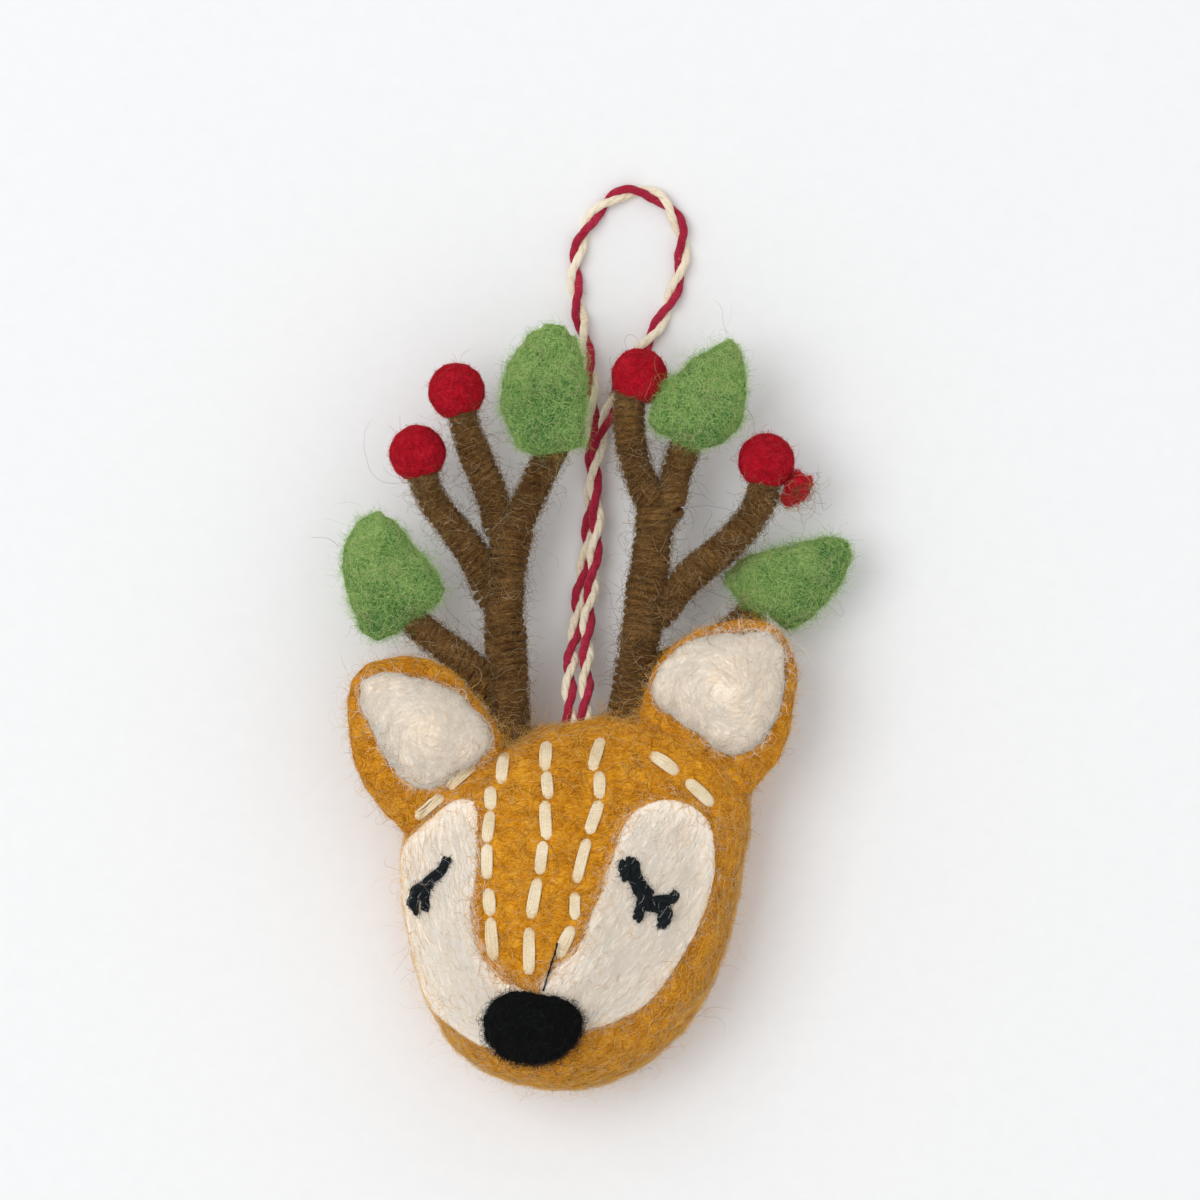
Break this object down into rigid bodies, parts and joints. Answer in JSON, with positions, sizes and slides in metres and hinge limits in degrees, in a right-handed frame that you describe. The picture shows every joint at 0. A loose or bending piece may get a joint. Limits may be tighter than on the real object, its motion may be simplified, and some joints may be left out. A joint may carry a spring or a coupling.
{
  "type": "reindeer head ornament",
  "caption": "Needle-felted reindeer head ornament with wrapped-wire antlers, felt berries and leaves, and a twine loop for hanging it.",
  "frame": {"origin": "on the resting plane, under the middle of the head's flat back", "axes": "+X to the viewer's right, +Y from the chin to the antlers and the loop, +Z out of the face; it lies on its back"},
  "size_m": [0.0899, 0.1589, 0.0385],
  "materials": {
    "mustard_wool": "needle-felted wool, matt",
    "cream_wool": "combed and felted wool, matt",
    "core_wool": "firm felted wool, not seen",
    "black_wool": "needle-felted wool, matt",
    "brown_wool": "wool yarn wound on wire",
    "green_felt": "thick soft felt, fuzzy",
    "red_felt": "dense felted ball",
    "cream_floss": "stranded floss, slight sheen",
    "black_thread": "sewing thread",
    "twine": "two-ply twine, red and cream",
    "steel_wire": "soft steel wire, hidden"
  },
  "bodies": {
    "root": {"head_core": "core_wool", "head_cover": "mustard_wool", "left_face_patch": "cream_wool", "right_face_patch": "cream_wool", "nose": "black_wool", "nose_thread": "black_thread", "left_eye_thread": "black_thread", "right_eye_thread": "black_thread", "forehead_thread_left": "cream_floss", "forehead_thread_middle": "cream_floss", "forehead_thread_right": "cream_floss", "brow_thread_left": "cream_floss", "brow_thread_right": "cream_floss", "left_ear": "mustard_wool", "right_ear": "mustard_wool", "left_ear_lining": "cream_wool", "right_ear_lining": "cream_wool", "left_antler_wire": "steel_wire", "right_antler_wire": "steel_wire", "left_antler_stem": "brown_wool", "right_antler_stem": "brown_wool", "left_tine_inner": "brown_wool", "left_tine_outer": "brown_wool", "left_tine_upper": "brown_wool", "left_tine_lower": "brown_wool", "right_tine_inner": "brown_wool", "right_tine_outer": "brown_wool", "right_tine_upper": "brown_wool", "right_tine_lower": "brown_wool", "left_berry_outer": "red_felt", "left_berry_upper": "red_felt", "right_berry_inner": "red_felt", "right_berry_upper": "red_felt", "red_tuft": "red_felt", "left_leaf_inner": "green_felt", "left_leaf_lower": "green_felt", "right_leaf_outer": "green_felt", "right_leaf_lower": "green_felt", "cord_knot": "twine", "hanging_cord": "twine"}
  },
  "joints": []
}
